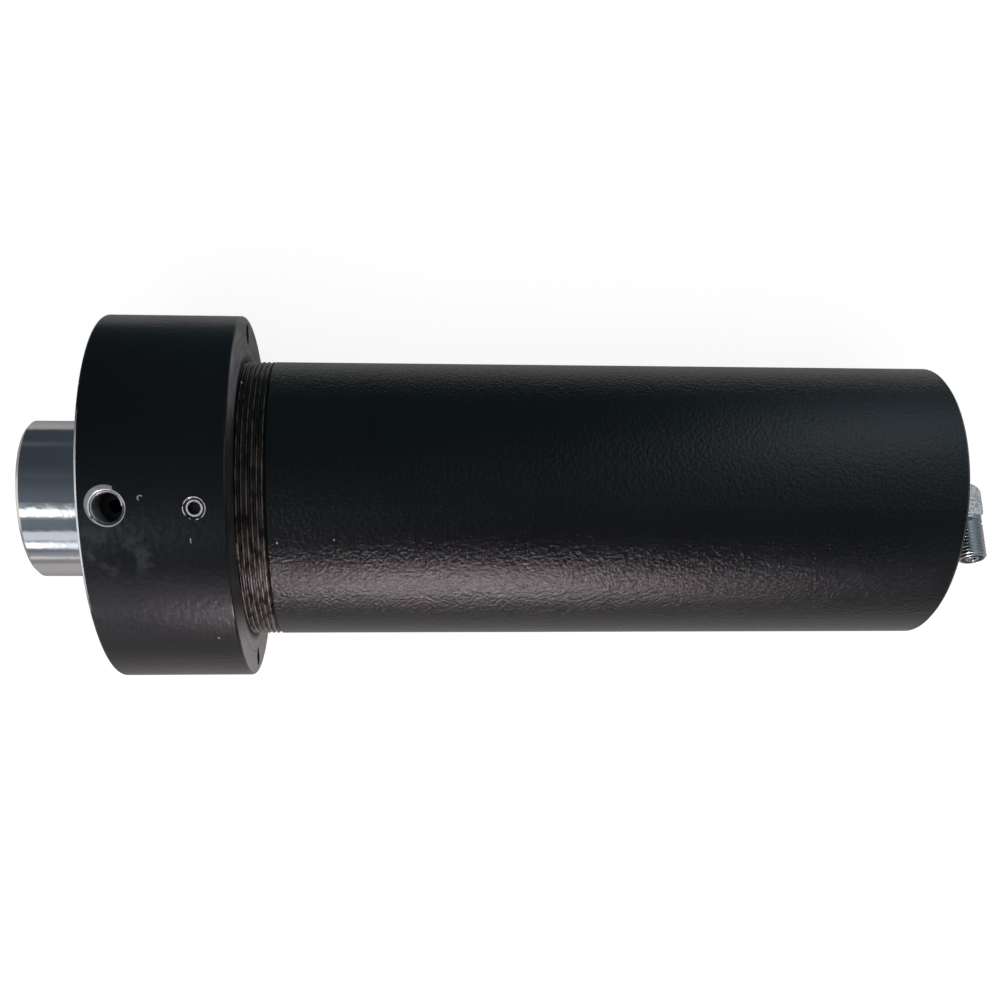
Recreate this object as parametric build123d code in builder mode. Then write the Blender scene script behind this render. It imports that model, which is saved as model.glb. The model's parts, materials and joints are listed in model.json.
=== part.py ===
"""Hydraulic ram with a screwed-on head collar, a welded base and an elbow fitting.

Millimetres. The ram lies along X: the rod leaves towards -X and the base closes the barrel
towards +X. The origin is the centre of the collar's rear face, and the rod-side port points
along +Z. Male threads are drawn at their root diameter and tapped holes at their minor
diameter, so every screwed joint keeps its true crest clearance.
"""

from build123d import *

import os
from math import cos, radians, sin

# Running parts
stroke = 200.0
bore_d = 90.0
rod_d = 65.0
rod_out = 35.0

# Barrel
barrel_wall = 12.0
barrel_pitch = 2.0
bare_thread = 11.0
barrel_entry = 34.0
nose_step = 3.0
nose_len = 7.5
barrel_edge = 1.2
bore_lead = 1.5

# Head collar
collar_od = 150.0
collar_len = 55.0
collar_edge = 1.0
spigot_len = 24.0
spigot_edge = 1.0
thread_relief_len = 3.0
thread_mouth = 1.2

# Base
base_thick = 30.0
base_edge = 1.0
base_float = 3.5
weld_wall_share = 0.5
weld_crown = 0.8

# Rod-side port, G1/4, with the drillings behind it
port_from_front = 11.4
port_minor_d = 11.445
port_mouth_d = 13.7
port_depth = 14.0
spotface_d = 15.0
spotface_sunk = 0.35
spotface_shift_x = -0.6
spotface_shift_y = 0.9
drilling_d = 5.0
gallery_d = 4.0
gallery_wall = 1.95

# Collar lock screw, M8, and the two M8 fixing holes in the rear face
m8_tap_d = 6.8
m8_mouth_d = 8.4
m8_root_d = 6.46
grub_from_rear = 12.0
grub_sunk = 0.6
grub_hexagon = 4.0
grub_hexagon_depth = 4.5
grub_cone = 1.2
screw_edge = 0.4
pad_d = 6.4
pad_len = 2.4
fixing_inset = 7.0
fixing_holes = 2
fixing_depth = 20.0

# Seals and guides of the gland
wiper_wall = 1.5
wiper_opening = 2.5
wiper_w = 5.0
wiper_t = 5.0
wiper_lip = 1.2
rod_guide_w = 6.3
guide_t = 2.5
rod_seal_w = 11.0
rod_seal_t = 5.0
seal_notch_w = 1.6
seal_notch_depth = 3.5
gland_land = 3.0
wiper_land = 2.5
head_ring_section = 2.6
backup_w = 1.2
head_groove_land = 2.0

# Piston
piston_len = 42.0
piston_edge = 1.5
piston_guide_w = 9.7
piston_guide_land = 3.1
piston_seal_w = 6.2
piston_seal_t = 2.35
energiser_section = 5.2
split_gap = 2.0
split_slant = 45.0
rod_spigot_d = 45.0
static_ring_section = 2.3
static_groove_w = 3.4

# Piston nut, M42x2, and its M6 lock screw
nut_thread_d = 42.0
nut_pitch = 2.0
nut_len = 22.0
nut_od = 64.0
nut_slots = 4
nut_slot_w = 8.0
nut_slot_depth = 4.0
nut_edge = 1.0
rod_tail = 1.0
m6_tap_d = 5.0
m6_root_d = 4.7
lock_hexagon = 3.0
lock_hexagon_depth = 3.0
lock_sunk = 0.8

# Rod end, M24x3
rod_edge = 1.5
rod_hole_d = 20.75
rod_hole_mouth_d = 25.0
rod_hole_depth = 40.0

# Elbow fitting: G1/4 stud into the base, M12x1.5 outlet
elbow_reach = 25.0
outlet_turn = 63.5
elbow_w = 13.2
elbow_back = 8.5
elbow_shoulder = 8.0
elbow_heel_r = 6.0
elbow_throat_r = 2.4
elbow_forge_r = 1.6
outlet_d = 12.0
outlet_neck_d = 10.2
outlet_neck_len = 1.6
outlet_end = 27.0
outlet_edge = 0.7
elbow_bore_d = 3.9
face_groove_in_d = 5.6
face_groove_out_d = 9.6
face_groove_depth = 1.6
face_ring_section = 1.8
stud_root_d = 11.2
stud_engaged = 10.0
base_port_depth = 14.0
base_drilling_d = 6.0
base_seat_d = 17.2
base_seat_depth = 2.2
stud_ring_section = 2.0
washer_od = 19.0
washer_t = 1.5
lock_nut_af = 19.0
lock_nut_t = 6.5
lock_nut_edge = 0.8

# Clearances
slip = 0.05
run = 0.05
groove_play = 0.1
metal_gap = 0.35
piston_gap = 0.4
tip_gap = 0.1
head_float = 0.5
weld_gap = 0.02

# Hole mouths, hexagons, and the sides of an O-ring's section
mouth_angle = 90.0
hexagon_sides = 6
ring_sides = 8

# Thread depths as shares of the pitch, for 60 degree threads
male_depth = 0.6134
female_depth = 0.5413

# Radii that follow
bore_r = bore_d / 2
rod_r = rod_d / 2
barrel_r = bore_r + barrel_wall
collar_r = collar_od / 2
nose_r = barrel_r - nose_step
weld_throat = weld_wall_share * barrel_wall
barrel_root_r = barrel_r - male_depth * barrel_pitch
collar_thread_r = barrel_r - female_depth * barrel_pitch
collar_relief_r = barrel_r + metal_gap
spigot_r = bore_r - slip
gallery_r = spigot_r - gallery_wall - gallery_d / 2
rod_land_r = rod_r + metal_gap
plug_r = bore_r - slip
port_r = port_minor_d / 2
port_seat_z = collar_r - spotface_sunk
rod_spigot_r = rod_spigot_d / 2
nut_r = nut_od / 2
nut_root_r = nut_thread_d / 2 - male_depth * nut_pitch
nut_minor_r = nut_thread_d / 2 - female_depth * nut_pitch
stud_r = stud_root_d / 2

# Stations along X that follow
collar_front = -collar_len
barrel_front = -barrel_entry
nose_rear = barrel_front + nose_len
relief_rear = nose_rear + thread_relief_len
spigot_end = barrel_front + spigot_len
rod_tip = collar_front - rod_out
piston_front = spigot_end + head_float + stroke
piston_rear = piston_front + piston_len
piston_mid = (piston_front + piston_rear) / 2
nut_rear = piston_rear + nut_len
nut_mid = (piston_rear + nut_rear) / 2
rod_rear = nut_rear + rod_tail
base_front = rod_rear + base_float
base_rear = base_front + base_thick
elbow_x = base_rear + elbow_reach
port_x = collar_front + port_from_front
grub_x = -grub_from_rear

# Grooves of the gland, from the front
wiper_front = collar_front + wiper_wall
wiper_rear = wiper_front + wiper_w
front_guide = wiper_rear + wiper_land
seal_front = front_guide + rod_guide_w + gland_land
seal_rear = seal_front + rod_seal_w
rear_guide = seal_rear + gland_land
head_groove_rear = nose_rear - head_groove_land
head_groove_front = head_groove_rear - head_ring_section - backup_w - 3 * groove_play
head_groove_r = nose_r + head_ring_section + groove_play

# Grooves of the piston and of the rod's spigot
guide_floor_r = bore_r - guide_t
seal_in_r = bore_r - run - piston_seal_t
seal_floor_r = seal_in_r - energiser_section - 2 * slip
seal_groove_w = piston_seal_w + 2 * groove_play
front_piston_guide = piston_front + piston_guide_land
rear_piston_guide = piston_rear - piston_guide_land - piston_guide_w
static_floor_r = rod_spigot_r - static_ring_section

# The elbow's own planes: its middle plane, and the plane across its outlet
outlet_angle = radians(outlet_turn)
elbow_plane = Plane(
    origin=(elbow_x, 0, 0), x_dir=(1, 0, 0), z_dir=(0, -cos(outlet_angle), -sin(outlet_angle))
)
outlet_plane = Plane(origin=elbow_plane.origin, x_dir=(1, 0, 0), z_dir=elbow_plane.y_dir)
outlet_axis = Axis(elbow_plane.origin, elbow_plane.y_dir)


def band(front, rear, inner, outer, mode=Mode.ADD):
    """Adds a rectangle between two stations and two radii to the open section sketch."""
    with Locations(((front + rear) / 2, (inner + outer) / 2)):
        Rectangle(rear - front, outer - inner, mode=mode)


def turned(*corners):
    """A turned piece, from the (station, radius) corners of its half section."""
    with BuildPart() as piece:
        with BuildSketch(Plane.XZ):
            with BuildLine():
                Polyline(*corners, close=True)
            make_face()
        revolve(axis=Axis.X)
    return piece


def plain_ring(front, rear, inner, outer):
    """A turned ring of rectangular section."""
    return turned((front, inner), (front, outer), (rear, outer), (rear, inner))


def split_ring(front, rear, inner, outer):
    """A guide strip bent into a ring, with a slanted gap between its ends."""
    with BuildPart() as piece:
        with BuildSketch(Plane.XZ):
            band(front, rear, inner, outer)
        revolve(axis=Axis.X)
        with Locations(Location(((front + rear) / 2, 0, -(inner + outer) / 2), (0, 0, split_slant))):
            Box(4 * (rear - front), split_gap, 4 * (outer - inner), mode=Mode.SUBTRACT)
    return piece


def o_ring(station, inner, section):
    """An O-ring round the ram's axis, its round section drawn with a few flats."""
    with BuildPart() as piece:
        with BuildSketch(Plane.XZ):
            with Locations((station, inner + section / 2)):
                RegularPolygon(section / 2, ring_sides)
        revolve(axis=Axis.X)
    return piece


def headless_screw(station, tip, top, root_d, hexagon, hexagon_depth, cone):
    """A radial screw on the +Z side, coned at its tip, with a hexagon socket on top."""
    with BuildPart() as screw:
        with BuildSketch(Plane.XY.offset(tip)):
            with Locations((station, 0)):
                Circle(root_d / 2)
        extrude(amount=top - tip)
        chamfer(screw.edges().group_by(Axis.Z)[0], cone)
        chamfer(screw.edges().group_by(Axis.Z)[-1], screw_edge)
        with BuildSketch(Plane.XY.offset(top - hexagon_depth)):
            with Locations((station, 0)):
                RegularPolygon(hexagon / 2, hexagon_sides, major_radius=False)
        extrude(amount=hexagon_depth, mode=Mode.SUBTRACT)
    return screw


# Barrel: its nose seals in the collar, and the thread behind it shows for a short length
barrel_tube = turned(
    (barrel_front, bore_r + bore_lead),
    (barrel_front, nose_r - bore_lead),
    (barrel_front + bore_lead, nose_r),
    (nose_rear, nose_r),
    (nose_rear + barrel_root_r - nose_r, barrel_root_r),
    (bare_thread, barrel_root_r),
    (bare_thread + barrel_r - barrel_root_r, barrel_r),
    (base_rear - barrel_edge, barrel_r),
    (base_rear, barrel_r - barrel_edge),
    (base_rear, bore_r + weld_throat),
    (base_rear - weld_throat, bore_r),
    (barrel_front + bore_lead, bore_r),
)

# Base plug: a turned disc with the fitting's port on the ram's axis
with BuildPart() as base_plug:
    with BuildSketch(Plane.XZ):
        with BuildLine():
            Polyline(
                (base_front, 0),
                (base_front, plug_r - base_edge),
                (base_front + base_edge, plug_r),
                (base_rear - weld_throat, plug_r),
                (base_rear, plug_r - weld_throat),
                (base_rear, 0),
                close=True,
            )
        make_face()
        band(base_rear - base_seat_depth, base_rear, 0, base_seat_d / 2, mode=Mode.SUBTRACT)
        band(base_rear - base_port_depth, base_rear, 0, port_r, mode=Mode.SUBTRACT)
        band(base_front, base_rear, 0, base_drilling_d / 2, mode=Mode.SUBTRACT)
    revolve(axis=Axis.X)

# Base weld: fills the V between the plug and the barrel, with a low crown
base_weld = turned(
    (base_rear - weld_throat + weld_gap, bore_r - slip / 2),
    (base_rear, plug_r - weld_throat + weld_gap),
    (base_rear + weld_crown, bore_r - weld_throat / 2),
    (base_rear + weld_crown, bore_r + weld_throat / 2),
    (base_rear, bore_r + weld_throat - weld_gap),
)

# Head collar: the turned body with its gland bore, then each drilled feature
with BuildPart() as head_collar:
    with BuildSketch(Plane.XZ):
        with BuildLine():
            Polyline(
                (collar_front, rod_land_r),
                (collar_front, collar_r - collar_edge),
                (collar_front + collar_edge, collar_r),
                (-collar_edge, collar_r),
                (0, collar_r - collar_edge),
                (0, collar_thread_r + thread_mouth),
                (-thread_mouth, collar_thread_r),
                (relief_rear, collar_thread_r),
                (relief_rear, collar_relief_r),
                (nose_rear, collar_relief_r),
                (nose_rear, nose_r + slip),
                (barrel_front, nose_r + slip),
                (barrel_front, spigot_r),
                (spigot_end - spigot_edge, spigot_r),
                (spigot_end, spigot_r - spigot_edge),
                (spigot_end, rod_land_r),
                close=True,
            )
        make_face()
        band(collar_front, wiper_front, 0, rod_r + wiper_opening, mode=Mode.SUBTRACT)
        band(wiper_front, wiper_rear, 0, rod_r + wiper_t, mode=Mode.SUBTRACT)
        for groove in (front_guide, rear_guide):
            band(groove, groove + rod_guide_w, 0, rod_r + guide_t, mode=Mode.SUBTRACT)
        band(seal_front, seal_rear, 0, rod_r + rod_seal_t, mode=Mode.SUBTRACT)
        band(head_groove_front, head_groove_rear, nose_r, head_groove_r, mode=Mode.SUBTRACT)
    revolve(axis=Axis.X)

    # Port: an offset spotface, the tapped hole and a drilling down to the gallery
    with BuildSketch(Plane.XY.offset(port_seat_z)):
        with Locations((port_x + spotface_shift_x, spotface_shift_y)):
            Circle(spotface_d / 2)
    extrude(amount=spotface_d, mode=Mode.SUBTRACT)
    with Locations((port_x, 0, port_seat_z)):
        CounterSinkHole(port_r, port_mouth_d / 2, port_depth, mouth_angle)
        Hole(drilling_d / 2, port_seat_z - gallery_r + drilling_d / 2)

    # Gallery: runs along the spigot's wall and opens into the rod-side chamber
    with BuildSketch(Plane.YZ.offset(port_x)):
        with Locations((0, gallery_r)):
            Circle(gallery_d / 2)
    extrude(amount=spigot_end - port_x, mode=Mode.SUBTRACT)

    # Lock screw hole, through to the barrel's thread
    with Locations((grub_x, 0, collar_r)):
        CounterSinkHole(m8_tap_d / 2, m8_mouth_d / 2, collar_r - nose_r, mouth_angle)

    # Two fixing holes in the rear face, square to the port
    with Locations(Plane.YZ):
        with PolarLocations(collar_r - fixing_inset, fixing_holes):
            CounterSinkHole(m8_tap_d / 2, m8_mouth_d / 2, fixing_depth, mouth_angle)

# Collar lock: a headless screw that presses a soft pad on the barrel's thread
grub_top = collar_r - grub_sunk
pad_foot = barrel_root_r + tip_gap
grub_tip = pad_foot + pad_len + tip_gap
collar_grub_screw = headless_screw(
    grub_x, grub_tip, grub_top, m8_root_d, grub_hexagon, grub_hexagon_depth, grub_cone
)
with BuildPart() as grub_pad:
    with BuildSketch(Plane.XY.offset(pad_foot)):
        with Locations((grub_x, 0)):
            Circle(pad_d / 2)
    extrude(amount=pad_len)
    chamfer(grub_pad.edges().group_by(Axis.Z)[-1], screw_edge)

# Gland: the wiper's lip stands out of the collar's front face
rod_wiper = turned(
    (collar_front - wiper_lip, rod_r + run),
    (wiper_front, rod_land_r),
    (wiper_rear - groove_play, rod_land_r),
    (wiper_rear - groove_play, rod_r + wiper_t - slip),
    (wiper_front + groove_play, rod_r + wiper_t - slip),
    (wiper_front + groove_play, rod_r + wiper_opening - groove_play),
    (collar_front - wiper_lip, rod_r + wiper_opening / 2),
)

# Rod seal: a lip seal with its notch towards the pressure
seal_mid_r = rod_r + rod_seal_t / 2
rod_seal = turned(
    (seal_front + groove_play, rod_land_r),
    (seal_rear - groove_play - seal_notch_depth, rod_r + run),
    (seal_rear - groove_play, rod_r + run),
    (seal_rear - groove_play, seal_mid_r - seal_notch_w / 2),
    (seal_rear - groove_play - seal_notch_depth, seal_mid_r),
    (seal_rear - groove_play, seal_mid_r + seal_notch_w / 2),
    (seal_rear - groove_play, rod_r + rod_seal_t - slip),
    (seal_front + groove_play, rod_r + rod_seal_t - slip),
)
rod_guide_ring_front, rod_guide_ring_rear = (
    split_ring(
        groove + groove_play,
        groove + rod_guide_w - groove_play,
        rod_r + run,
        rod_r + guide_t - slip,
    )
    for groove in (front_guide, rear_guide)
)

# Static seal of the barrel's nose: an O-ring, and a back-up ring on its dry side
head_o_ring = o_ring(
    head_groove_front + groove_play + head_ring_section / 2, nose_r + slip, head_ring_section
)
head_backup_ring = plain_ring(
    head_groove_rear - groove_play - backup_w,
    head_groove_rear - groove_play,
    nose_r + slip,
    head_groove_r - slip,
)

# Rod: tapped at its end, with a spigot for the piston and a thread for the piston's nut
with BuildPart() as rod:
    with BuildSketch(Plane.XZ):
        with BuildLine():
            Polyline(
                (rod_tip, 0),
                (rod_tip, rod_r - rod_edge),
                (rod_tip + rod_edge, rod_r),
                (piston_front - rod_edge, rod_r),
                (piston_front, rod_r - rod_edge),
                (piston_front, rod_spigot_r),
                (piston_rear, rod_spigot_r),
                (piston_rear, nut_root_r),
                (rod_rear - rod_edge, nut_root_r),
                (rod_rear, nut_root_r - rod_edge),
                (rod_rear, 0),
                close=True,
            )
        make_face()
        band(
            piston_mid - static_groove_w / 2,
            piston_mid + static_groove_w / 2,
            static_floor_r,
            rod_spigot_r,
            mode=Mode.SUBTRACT,
        )
    revolve(axis=Axis.X)
    with Locations(Location((rod_tip, 0, 0), (0, -90, 0))):
        CounterSinkHole(rod_hole_d / 2, rod_hole_mouth_d / 2, rod_hole_depth, mouth_angle)

# Piston: a guide groove near each end, and the seal groove between them
piston_r = bore_r - piston_gap
with BuildPart() as piston:
    with BuildSketch(Plane.XZ):
        with BuildLine():
            Polyline(
                (piston_front, rod_spigot_r + slip),
                (piston_front, piston_r - piston_edge),
                (piston_front + piston_edge, piston_r),
                (piston_rear - piston_edge, piston_r),
                (piston_rear, piston_r - piston_edge),
                (piston_rear, rod_spigot_r + slip),
                close=True,
            )
        make_face()
        for groove in (front_piston_guide, rear_piston_guide):
            band(groove, groove + piston_guide_w, guide_floor_r, bore_r, mode=Mode.SUBTRACT)
        band(
            piston_mid - seal_groove_w / 2,
            piston_mid + seal_groove_w / 2,
            seal_floor_r,
            bore_r,
            mode=Mode.SUBTRACT,
        )
    revolve(axis=Axis.X)

# Piston rings: a slipper seal on its energiser, and the two guide rings
piston_seal = plain_ring(
    piston_mid - piston_seal_w / 2, piston_mid + piston_seal_w / 2, seal_in_r, bore_r - run
)
piston_seal_energiser = o_ring(piston_mid, seal_floor_r + slip, energiser_section)
piston_guide_ring_front, piston_guide_ring_rear = (
    split_ring(
        groove + groove_play,
        groove + piston_guide_w - groove_play,
        guide_floor_r + slip,
        bore_r - run,
    )
    for groove in (front_piston_guide, rear_piston_guide)
)
piston_static_o_ring = o_ring(piston_mid, static_floor_r + slip / 2, static_ring_section)

# Piston nut: a round nut with spanner slots and a tapped hole for its lock screw
with BuildPart() as piston_nut:
    with BuildSketch(Plane.XZ):
        with BuildLine():
            Polyline(
                (piston_rear, nut_minor_r),
                (piston_rear, nut_r - nut_edge),
                (piston_rear + nut_edge, nut_r),
                (nut_rear - nut_edge, nut_r),
                (nut_rear, nut_r - nut_edge),
                (nut_rear, nut_minor_r),
                close=True,
            )
        make_face()
    revolve(axis=Axis.X)
    with BuildSketch(Plane.YZ.offset(piston_rear)):
        with PolarLocations(nut_r, nut_slots, start_angle=180 / nut_slots):
            Rectangle(2 * nut_slot_depth, nut_slot_w)
    extrude(amount=nut_len, mode=Mode.SUBTRACT)
    with Locations((nut_mid, 0, nut_r)):
        Hole(m6_tap_d / 2, nut_r - nut_root_r)

nut_lock_screw = headless_screw(
    nut_mid,
    nut_root_r + tip_gap,
    nut_r - lock_sunk,
    m6_root_d,
    lock_hexagon,
    lock_hexagon_depth,
    screw_edge,
)

# Elbow fitting: a forged block with a round heel, a stud along the ram's axis, and an
# outlet across it
with BuildPart() as elbow_body:
    with BuildSketch(elbow_plane):
        with Locations((0, (elbow_shoulder - elbow_back) / 2)):
            Rectangle(elbow_w, elbow_shoulder + elbow_back)
    extrude(amount=elbow_w / 2, both=True)
    across = Axis(elbow_plane.origin, elbow_plane.z_dir)
    back_edges = elbow_body.edges().filter_by(across).sort_by(outlet_axis)[:2]
    fillet(back_edges.sort_by(Axis.X)[-1], elbow_heel_r)
    back_edges = elbow_body.edges().filter_by(across).sort_by(outlet_axis)
    fillet(back_edges.sort_by(Axis.X)[:2].sort_by(outlet_axis)[0], elbow_throat_r)
    side_edges = elbow_body.faces().filter_by(across).edges().sort_by(outlet_axis)
    fillet(side_edges[:-2], elbow_forge_r)

    # Outlet: the neck, the thread's length and the chamfered end
    with BuildSketch(elbow_plane):
        with BuildLine():
            neck_r = outlet_neck_d / 2
            outlet_r = outlet_d / 2
            thread_start = elbow_shoulder + outlet_neck_len
            Polyline(
                (0, 0),
                (neck_r, 0),
                (neck_r, thread_start),
                (outlet_r, thread_start + outlet_r - neck_r),
                (outlet_r, outlet_end - outlet_edge),
                (outlet_r - outlet_edge, outlet_end),
                (0, outlet_end),
                close=True,
            )
        make_face()
    revolve(axis=outlet_axis)

    # Stud: from inside the block down to its engaged end in the base
    with BuildSketch(Plane.XZ):
        band(base_rear - stud_engaged, elbow_x, 0, stud_r)
    revolve(axis=Axis.X)

    # Bores: along the stud, then out through the outlet, and the groove in its end face
    with BuildSketch(Plane.XZ):
        band(base_rear - stud_engaged, elbow_x + elbow_bore_d / 2, 0, elbow_bore_d / 2)
    revolve(axis=Axis.X, mode=Mode.SUBTRACT)
    with BuildSketch(outlet_plane):
        Circle(elbow_bore_d / 2)
    extrude(amount=outlet_end, mode=Mode.SUBTRACT)
    with BuildSketch(outlet_plane.offset(outlet_end - face_groove_depth)):
        Circle(face_groove_out_d / 2)
        Circle(face_groove_in_d / 2, mode=Mode.SUBTRACT)
    extrude(amount=face_groove_depth, mode=Mode.SUBTRACT)

# Outlet seal: sits in the end face and stands a little proud
face_ring_r = (face_groove_in_d + face_groove_out_d) / 4
with BuildPart() as elbow_face_o_ring:
    with BuildSketch(elbow_plane):
        with Locations((face_ring_r, outlet_end - face_groove_depth + slip + face_ring_section / 2)):
            RegularPolygon(face_ring_section / 2, ring_sides)
    revolve(axis=outlet_axis)

# Stud seal: an O-ring in the base's seat, held down by the washer and the lock nut
elbow_stud_o_ring = o_ring(base_rear - base_seat_depth / 2, stud_r + slip, stud_ring_section)
elbow_washer = plain_ring(base_rear, base_rear + washer_t, port_r, washer_od / 2)
nut_corner_r = lock_nut_af / 2 / cos(radians(180 / hexagon_sides))
with BuildPart() as elbow_lock_nut:
    with BuildSketch(Plane.YZ.offset(base_rear + washer_t)):
        RegularPolygon(lock_nut_af / 2, hexagon_sides, major_radius=False)
        Circle(port_r, mode=Mode.SUBTRACT)
    extrude(amount=lock_nut_t)
    with BuildSketch(Plane.XZ):
        with BuildLine():
            nut_face = base_rear + washer_t
            Polyline(
                (nut_face, 0),
                (nut_face, nut_corner_r - lock_nut_edge),
                (nut_face + lock_nut_edge / 2, nut_corner_r),
                (nut_face + lock_nut_t - lock_nut_edge / 2, nut_corner_r),
                (nut_face + lock_nut_t, nut_corner_r - lock_nut_edge),
                (nut_face + lock_nut_t, 0),
                close=True,
            )
        make_face()
    revolve(axis=Axis.X, mode=Mode.INTERSECT)

pieces = {
    "barrel_tube": barrel_tube,
    "base_plug": base_plug,
    "base_weld": base_weld,
    "head_collar": head_collar,
    "collar_grub_screw": collar_grub_screw,
    "grub_pad": grub_pad,
    "rod_wiper": rod_wiper,
    "rod_seal": rod_seal,
    "rod_guide_ring_front": rod_guide_ring_front,
    "rod_guide_ring_rear": rod_guide_ring_rear,
    "head_o_ring": head_o_ring,
    "head_backup_ring": head_backup_ring,
    "rod": rod,
    "piston": piston,
    "piston_seal": piston_seal,
    "piston_seal_energiser": piston_seal_energiser,
    "piston_guide_ring_front": piston_guide_ring_front,
    "piston_guide_ring_rear": piston_guide_ring_rear,
    "piston_static_o_ring": piston_static_o_ring,
    "piston_nut": piston_nut,
    "nut_lock_screw": nut_lock_screw,
    "elbow_body": elbow_body,
    "elbow_face_o_ring": elbow_face_o_ring,
    "elbow_stud_o_ring": elbow_stud_o_ring,
    "elbow_washer": elbow_washer,
    "elbow_lock_nut": elbow_lock_nut,
}
os.makedirs("parts", exist_ok=True)
for name, piece in pieces.items():
    piece.part.label = name
    export_step(piece.part, f"parts/{name}.step")
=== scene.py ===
"""Looks of the hydraulic ram: camera, studio, threads and fitting, and the finish of each piece.

Metres. The ram lies along X, its rod towards -X and its base towards +X, with the port on +Z.
"""

import json
from math import atan2, ceil, cos, pi, radians, sin

import bmesh
import bpy
from mathutils import Matrix, Vector, noise


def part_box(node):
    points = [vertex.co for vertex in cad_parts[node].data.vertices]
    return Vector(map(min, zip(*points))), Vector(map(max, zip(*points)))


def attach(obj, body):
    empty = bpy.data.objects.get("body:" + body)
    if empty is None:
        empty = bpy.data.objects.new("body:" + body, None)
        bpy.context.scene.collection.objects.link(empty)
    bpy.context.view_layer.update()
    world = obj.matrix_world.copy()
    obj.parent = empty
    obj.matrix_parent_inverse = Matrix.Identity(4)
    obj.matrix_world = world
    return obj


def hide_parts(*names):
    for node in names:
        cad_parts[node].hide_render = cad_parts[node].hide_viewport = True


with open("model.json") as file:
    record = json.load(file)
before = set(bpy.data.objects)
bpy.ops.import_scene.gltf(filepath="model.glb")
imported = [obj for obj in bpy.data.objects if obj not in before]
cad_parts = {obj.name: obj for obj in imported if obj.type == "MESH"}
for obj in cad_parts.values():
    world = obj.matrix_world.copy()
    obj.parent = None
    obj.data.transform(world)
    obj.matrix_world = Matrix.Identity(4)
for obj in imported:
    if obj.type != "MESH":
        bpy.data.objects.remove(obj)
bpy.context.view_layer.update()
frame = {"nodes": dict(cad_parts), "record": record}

nodes = frame["nodes"]
mounts = {mount["name"]: mount for mount in frame["record"]["mounts"]}
scene = bpy.context.scene

mm = 0.001

# Sizes taken from the frame
collar_low, collar_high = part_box("head_collar")
barrel_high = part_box("barrel_tube")[1]
grub_low, grub_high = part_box("collar_grub_screw")
weld_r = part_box("base_weld")[1].z
collar_r = collar_high.z
collar_front = collar_low.x
barrel_r = barrel_high.z
barrel_rear = barrel_high.x
port_x = mounts["head_port"]["pos_m"][0]
port_r = mounts["head_port"]["dims"]["r_mm"] * mm
grub_x = (grub_low.x + grub_high.x) / 2
outlet_axis = Vector(mounts["elbow_outlet"]["axis"])
outlet_mid = Vector(mounts["elbow_outlet"]["pos_m"])
outlet_r = mounts["elbow_outlet"]["dims"]["r_mm"] * mm
outlet_len = mounts["elbow_outlet"]["dims"]["length_mm"] * mm
elbow_x = outlet_mid.x
outlet_reach = Vector((0, outlet_mid.y, outlet_mid.z)).length

# The elbow: where its block starts, and the shoulder its outlet leaves from
block_low = 307.4 * mm
shoulder = 8 * mm

# Marks on the real one
spotface_centre = (-44.2 * mm, 0.9 * mm)
spotface_r = 7.5 * mm
tick_x, tick_y = (-14.0 * mm, -13.65 * mm), (-12.8 * mm, -11.0 * mm)
nick_centre, nick_r = (-31.2 * mm, 3.6 * mm, 74.9 * mm), (0.75 * mm, 1.15 * mm)
dot_centre, dot_r = (-8.07 * mm, -51.27 * mm, 54.74 * mm), 0.55 * mm
smear_x, smear_y = (-0.9 * mm, 0.5 * mm), (-21.5 * mm, -14.3 * mm)
barrel_specks = (
    ((15.7 * mm, -14.11 * mm, 55.22 * mm), 0.45 * mm),
    ((37.67 * mm, -12.9 * mm, 55.52 * mm), 0.4 * mm),
)
thread_specks = (
    ((1.2 * mm, 47.19 * mm, 31.97 * mm), 0.9 * mm),
    ((8.02 * mm, 40.01 * mm, 40.59 * mm), 0.8 * mm),
)

# Camera: the side of the ram it sees, and its lens
camera_lean = 2.36
camera_x = 66.318 * mm
camera_distance = 512.939 * mm
camera_yaw = 3.397
camera_pitch = 9.841
camera_roll = 0.2136
focal_px = 1164.786
frame_px = 1000
centre_px = (477.21, 702.84)
sensor_mm = 36


def place_camera():
    """Puts the camera where the photograph was taken from."""
    data = bpy.data.cameras.new("camera")
    data.sensor_width = sensor_mm
    data.lens = focal_px / frame_px * sensor_mm
    data.shift_x = 0.5 - centre_px[0] / frame_px
    data.shift_y = centre_px[1] / frame_px - 0.5
    data.clip_start = 0.01
    camera = bpy.data.objects.new("camera", data)
    camera.matrix_world = (
        Matrix.Rotation(radians(-camera_lean), 4, "X")
        @ Matrix.Translation((camera_x, 0, camera_distance))
        @ Matrix.Rotation(radians(-camera_yaw), 4, "Y")
        @ Matrix.Rotation(radians(-camera_pitch), 4, "X")
        @ Matrix.Rotation(radians(camera_roll), 4, "Z")
    )
    scene.collection.objects.link(camera)
    scene.camera = camera


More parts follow.
